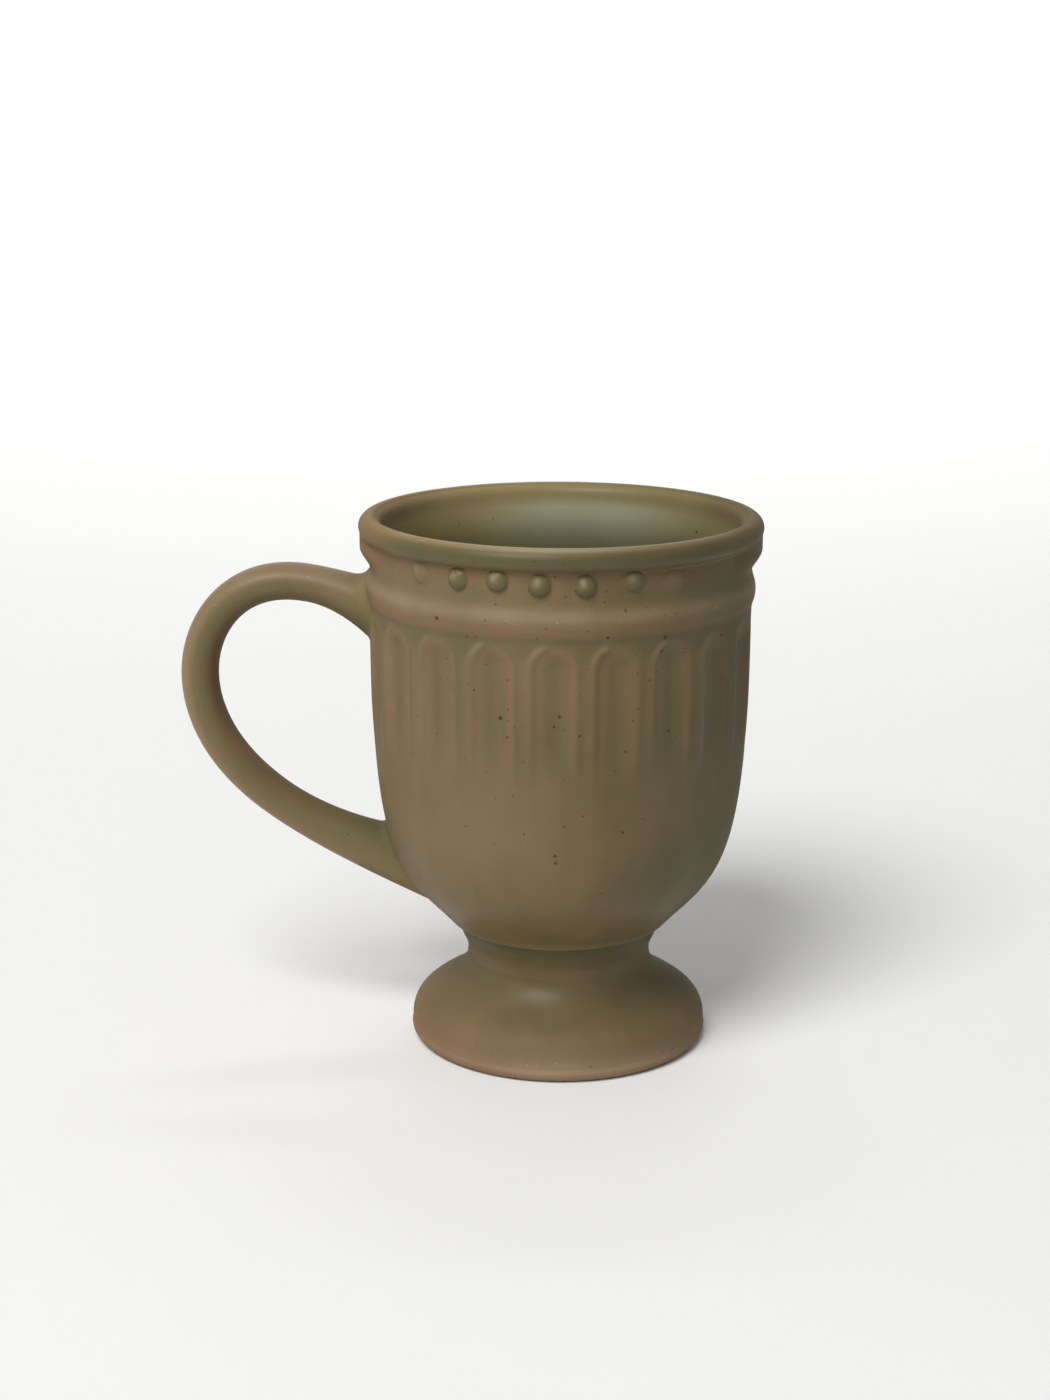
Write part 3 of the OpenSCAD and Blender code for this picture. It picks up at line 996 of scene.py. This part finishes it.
def foot_outline(s, top_z):
    """The pedestal's profile in parts, round its section from the middle of the ring that it rests on."""
    low, mid = (s.waist_radius, 0), (s.waist_radius, s.waist_z)
    flare_span = (s.radius - s.waist_radius, s.waist_z)
    neck_span = (s.neck_radius - s.waist_radius, top_z - s.waist_z)
    hollow_span = (s.radius - s.edge - s.rest - s.bore_radius, s.waist_z)
    edge = arc((s.radius - s.edge, s.edge), s.edge, first=-90, last=0, steps=12)
    flare = curve([(s.radius, s.edge)] + laid(FOOT_EDGE, low, flare_span), steps=16)
    flare += curve(laid(FLARE, low, flare_span), steps=40)[1:]
    neck = curve(laid(WAIST, mid, neck_span), steps=16) + curve(laid(NECK, mid, neck_span), steps=16)[1:]
    top = [neck[-1], Vector((s.bore_radius, top_z))]
    bore = curve(laid(HOLLOW, (s.bore_radius, 0), hollow_span), steps=40)[::-1]
    middle = bore[-1].lerp(edge[0], 0.5)
    return [
        ([middle, edge[0]], "rest"),
        (edge, "outside"),
        (flare, "outside"),
        (neck, "outside"),
        (top, "hidden"),
        ([top[-1], bore[0]], "hidden"),
        (bore, "hidden"),
        ([bore[-1], middle], "rest"),
    ]


def foot_marks(p, kind, top_z):
    """What the glaze does at a point of the pedestal's profile, and the shade painted there."""
    values = dict(PLAIN)
    if kind == "rest":
        values["bare"] = 1.0
    # The hollow of the stem takes the inside's colour, darkened by painted shade
    elif kind == "hidden":
        values["inside"] = 0.6
        values["sunk"] = 1.0
    else:
        values["rust"] = 0.35 * ramp(p.x, 26.5 * MM, 33.5 * MM)
        values["dry"] = 0.6 * ramp(p.x, 29 * MM, 33 * MM)
        # Glaze pools in the waist; the darker pool just under the arris is painted shade
        in_waist = 0.5 * near(p.y, 15.5 * MM, 4.5 * MM)
        values["pool"] = max(in_waist, 1.1 * near(p.y, top_z - 1.2 * MM, 2.4 * MM))
        values["pale"] = 1.2 * near(p.y, 2.4 * MM, 3.2 * MM)
        values["bare"] = 0.14 * near(p.y, 2 * MM, 2 * MM) + 0.4 * ramp(-p.y, -0.45 * MM, -0.1 * MM)
    return values


class MUG_OT_foot(bpy.types.Operator):
    """Make the pedestal: a hollow trumpet with a bare ring to rest on"""

    bl_idname = "mug.make_foot"
    bl_label = "Pedestal"

    def execute(self, context):
        s, top_z = context.scene.mug_foot, context.scene.mug_bowl.base_z

        def reach(p):
            if p.x > s.radius - 5 * MM and p.y > s.edge:
                return s.edge_softness
            under = top_z - p.y
            if p.x > s.waist_radius - MM and under < 9 * MM:
                return s.softness + (s.neck_softness - s.softness) * ramp(under, 0.2 * MM, 2 * MM)
            return s.softness

        rows = []
        for p, kind in joined(foot_outline(s, top_z), reach, lambda p: 1.1 * MM):
            rows.append(((p.x, max(0.0, p.y)), foot_marks(p, kind, top_z)))
        thing = lathe("glazed_pedestal", rows, s.steps)
        weld(thing)
        thing.data.materials.append(glaze("foot_glaze", context.scene.mug_glaze))
        piece(thing, "pedestal_foot")
        return {"FINISHED"}


def handle_path(s, wall, low, rise):
    """The handle's centreline, from its upper root round the ear to its lower one."""
    path = []
    for shares, steps in ((UPPER_ROOT, 34), (CROWN, 34), (LOWER_ROOT, 70)):
        part = curve([(-wall - a * s.reach, low + b * rise) for a, b in shares], steps)
        path += part if not path else part[1:]
    return path


def handle_lines(s, path):
    """Lines along the handle's skin, evenly set round its squared oval section."""
    squareness = 0.88
    runs = [0.0]
    for a, b in zip(path[:-1], path[1:]):
        runs.append(runs[-1] + (b - a).length)
    lines = [[] for _ in range(s.sides)]
    for i, p in enumerate(path):
        along = (path[min(i + 1, len(path) - 1)] - path[max(i - 1, 0)]).normalized()
        across = Vector((-along.y, along.x))
        upper = max(0.0, 1 - runs[i] / s.upper_spread) ** 2
        lower = max(0.0, 1 - (runs[-1] - runs[i]) / s.lower_spread) ** 2
        gain = s.spread * (upper + lower)
        for k, line in enumerate(lines):
            a = 2 * math.pi * k / s.sides
            c, d = (math.copysign(abs(v) ** squareness, v) for v in (math.cos(a), math.sin(a)))
            q = p + across * (s.thickness / 2 + gain) * c
            line.append(Vector((q.x, (s.width / 2 + gain) * d, q.y)))
    return lines


def point_at(line, place):
    """The point of a line at a place, which is an index and a share of the next step."""
    i = int(place)
    return line[i].lerp(line[min(i + 1, len(line) - 1)], place - i)


class Skin:
    """The glazed skin of the bowl, for what is set against it."""

    def __init__(self, thing):
        self.tree = BVHTree.FromObject(thing, bpy.context.evaluated_depsgraph_get())

    def spot(self, q):
        """The nearest spot of the skin and which way it faces."""
        return self.tree.find_nearest(q)[:2]

    def off(self, q):
        """How far a point stands off the skin. Inside the wall it is negative."""
        spot, normal = self.spot(q)
        return (q - spot).dot(normal)

    def place_at(self, line, wanted):
        """The first place along a line that stands this far off the skin."""
        before = self.off(line[0])
        for i in range(1, len(line)):
            now = self.off(line[i])
            if before < wanted <= now:
                return i - 1 + (wanted - before) / (now - before)
            before = now
        raise RuntimeError("the handle never leaves the wall")


def root_of(lines, skin, inner, outer):
    """The slip that fills the corner at a root: where each line leaves it, its rings and its middle."""
    steps = 9
    pull_share = 0.62
    # The slip ends just under the bowl's skin, and a hem goes on into the wall
    tuck = 0.05 * MM
    hem = 0.9 * MM
    meets, leaves, fillets = [], [], []
    for k, line in enumerate(lines):
        fillets.append(outer + (inner - outer) * (1 + math.cos(2 * math.pi * k / len(lines))) / 2)
        meets.append(point_at(line, skin.place_at(line, 0.0)))
        leaves.append(skin.place_at(line, fillets[k]))
    centre = sum(meets, Vector()) / len(lines)
    sections = []
    for line, corner, leave, fillet in zip(lines, meets, leaves, fillets):
        start = point_at(line, leave)
        _, normal = skin.spot(corner)
        out = corner - centre
        out = (out - normal * out.dot(normal)).normalized()
        spot, normal = skin.spot(corner + out * fillet)
        end = spot - normal * tuck
        bent = curve([start, start.lerp(corner, pull_share), end.lerp(corner, pull_share), end], steps)
        sections.append(bent + [spot - normal * hem])
    return SimpleNamespace(leaves=leaves, rings=list(zip(*sections)), centre=centre)


def handle_rings(lines, upper, lower):
    """The rings of the handle's skin, from the hem of the upper root to that of the lower one."""
    last = len(lines[0]) - 1
    first_whole = max(math.ceil(v) for v in upper.leaves) + 1
    last_whole = last - (max(math.ceil(v) for v in lower.leaves) + 1)
    rings = upper.rings[::-1]
    # Between the fillet and the first whole ring the lines are laid out evenly again
    for j in (0.25, 0.5, 0.75):
        rings.append([point_at(line, at + (first_whole - at) * j) for line, at in zip(lines, upper.leaves)])
    rings += [[line[i] for line in lines] for i in range(first_whole, last_whole + 1)]
    ends = [last - leave for leave in lower.leaves]
    for j in (0.75, 0.5, 0.25):
        rings.append([point_at(line, at + (last_whole - at) * j) for line, at in zip(lines, ends)])
    return rings + lower.rings


def handle_marks(inward, root):
    """What the glaze does at a point of the handle, and the light and shade painted there, by how far it
    faces inwards and how near a root is.
    """
    # Rust breaks on the outer edge; on the inner side it joins the pool in painted shade
    edges = max(ramp(inward, 0.05, 0.8), 0.6 * ramp(-inward, 0.3, 0.9))
    return {
        **PLAIN,
        # The dark pool on the inner side is painted shade, and near the roots it spreads further round
        "pool": max(0.5 * root * ramp(inward, -0.6, 0.4), 0.9 * ramp(inward, -0.2, 0.6)),
        "green": 0.3 * near(inward, 0.1, 0.35) - 0.08 + 0.2 * root,
        "rust": (0.45 - 0.45 * root) * edges,
        # The pale on the outer side and the sage near the roots are painted highlights
        "pale": 0.5 * ramp(-inward, 0.1, 0.7) * (1 - 0.7 * root),
        "inside": 0.15 * root * near(inward, -0.15, 0.4),
        "dry": 0.7 * ramp(inward, 0.2, 0.8),
    }


class MUG_OT_handle(bpy.types.Operator):
    """Make the handle: a strap swept along an ear, with slip filling the corners at its roots"""

    bl_idname = "mug.make_handle"
    bl_label = "Handle"

    def execute(self, context):
        s, bowl = context.scene.mug_handle, context.scene.mug_bowl
        low = bowl.base_z + s.root_up
        rise = bowl.height - s.drop - low
        lines = handle_lines(s, handle_path(s, bowl_levels(bowl).wall, low, rise))
        skin = Skin(bpy.data.objects["glazed_bowl"])
        upper = root_of(lines, skin, s.upper_under, s.upper_over)
        lower = root_of([line[::-1] for line in lines], skin, s.lower_over, s.lower_under)

        # The roots' glaze fades out along the handle, and the lower root's goes further
        upper_fade, lower_fade = 12 * MM, 26 * MM
        points, marks, faces = [], [], []
        for ring in handle_rings(lines, upper, lower):
            for k, q in enumerate(ring):
                fade = lower_fade if q.z < low + 0.4 * rise else upper_fade
                root = 1 - ramp(skin.off(q), 1.5 * MM, fade)
                points.append(tuple(q))
                marks.append(handle_marks(math.cos(2 * math.pi * k / s.sides), root))
        last = len(points) - s.sides
        for start in range(0, last, s.sides):
            faces += flipped(strip(start, start + s.sides, s.sides))
        # Each end is closed inside the wall
        plug_depth = 1.6 * MM
        for root in (upper, lower):
            spot, normal = skin.spot(root.centre)
            points.append(tuple(spot - normal * plug_depth))
            marks.append(PLAIN)
        faces += fan(len(points) - 2, 0, s.sides) + flipped(fan(len(points) - 1, last, s.sides))
        thing = mesh_object("glazed_handle", points, faces, marks)
        thing.data.materials.append(glaze("handle_glaze", context.scene.mug_glaze))
        piece(thing, "handle")
        return {"FINISHED"}


def soft_light(name, place, aim, size, watts):
    data = bpy.data.lights.new(name, "AREA")
    data.shape = "DISK"
    data.size = size
    data.energy = watts
    thing = bpy.data.objects.new(name, data)
    bpy.context.scene.collection.objects.link(thing)
    thing.location = place
    thing.rotation_euler = (Vector(place) - Vector(aim)).to_track_quat("Z", "Y").to_euler()


def backdrop(s):
    """A pale floor that rises to a backdrop all round."""
    rise = curve(laid(BACKDROP, (s.flat, 0), (s.wide - s.flat, s.high)), steps=40)
    path = [Vector((0, 0)), Vector((s.flat / 2, 0))] + rise
    floor = lathe("floor", [(tuple(p), {}) for p in reversed(path)], sides=96)
    material, n = new_material("floor")
    place = n.give("ShaderNodeTexCoord", output="Object")
    shaded = tuple(0.97 * c for c in s.floor)
    surface = {"Base Color": n.mix(noise(n, place, 3.0, 2.0), shaded, s.floor), "Roughness": 0.9}
    n.add("ShaderNodeOutputMaterial", {"Surface": n.give("ShaderNodeBsdfPrincipled", surface)})
    floor.data.materials.append(material)


def room_light(scene, strength):
    world = scene.world or bpy.data.worlds.new("room")
    scene.world = world
    world.use_nodes = True
    back = next(node for node in world.node_tree.nodes if node.type == "BACKGROUND")
    back.inputs["Color"].default_value = (1, 1, 1, 1)
    back.inputs["Strength"].default_value = strength


def aimed_camera(scene, s):
    """The photograph's camera, turned about the mug's axis and then aimed by yaw, pitch and roll."""
    data = bpy.data.cameras.new("camera")
    data.lens = s.lens
    data.sensor_width = 36
    data.clip_start = 0.01
    camera = bpy.data.objects.new("camera", data)
    scene.collection.objects.link(camera)
    level = math.cos(s.pitch)
    ahead = Vector((math.sin(s.yaw) * level, math.cos(s.yaw) * level, -math.sin(s.pitch)))
    right = Vector((math.cos(s.yaw), -math.sin(s.yaw), 0))
    up = right.cross(ahead)
    c, d = math.cos(s.roll), math.sin(s.roll)
    right, up = c * right + d * up, c * up - d * right
    pose = Matrix((right, up, -ahead)).transposed().to_4x4()
    pose.translation = Vector((0, -s.distance, s.height))
    camera.matrix_world = Matrix.Rotation(s.turn, 4, "Z") @ pose
    scene.camera = camera


class MUG_OT_stage(bpy.types.Operator):
    """Make the floor, the lights and the camera"""

    bl_idname = "mug.make_stage"
    bl_label = "Stage"

    def execute(self, context):
        scene = context.scene
        s = scene.mug_stage
        backdrop(s)
        soft_light("key_light", (-0.462, -0.99, 1.36), aim=(0, 0, 0.06), size=0.9, watts=s.key)
        soft_light("backdrop_light", (0, 0.9, 1.6), aim=(0, 2.4, 0.5), size=1.0, watts=s.back)
        room_light(scene, s.room)
        scene.view_settings.view_transform = "Standard"
        scene.view_settings.look = "None"
        aimed_camera(scene, s)
        return {"FINISHED"}


OPERATORS = (MUG_OT_bowl, MUG_OT_beads, MUG_OT_foot, MUG_OT_handle, MUG_OT_stage)


class MUG_PT_panel(bpy.types.Panel):
    """The mug's pieces and sizes"""

    bl_label = "Footed mug"
    bl_idname = "MUG_PT_panel"
    bl_space_type = "VIEW_3D"
    bl_region_type = "UI"
    bl_category = "Mug"

    def draw(self, context):
        for operator in OPERATORS:
            self.layout.operator(operator.bl_idname)
        for key, group in GROUPS.items():
            box = self.layout.box()
            for field in group.__annotations__:
                box.prop(getattr(context.scene, key), field)


def register():
    for key, group in GROUPS.items():
        bpy.utils.register_class(group)
        setattr(bpy.types.Scene, key, PointerProperty(type=group))
    for operator in OPERATORS:
        bpy.utils.register_class(operator)
    bpy.utils.register_class(MUG_PT_panel)


def unregister():
    bpy.utils.unregister_class(MUG_PT_panel)
    for operator in reversed(OPERATORS):
        bpy.utils.unregister_class(operator)
    for key, group in GROUPS.items():
        delattr(bpy.types.Scene, key)
        bpy.utils.unregister_class(group)


def main():
    register()
    bpy.ops.mug.make_bowl()
    bpy.ops.mug.make_beads()
    bpy.ops.mug.make_foot()
    bpy.ops.mug.make_handle()
    bpy.ops.mug.make_stage()


if __name__ == "__main__":
    main()
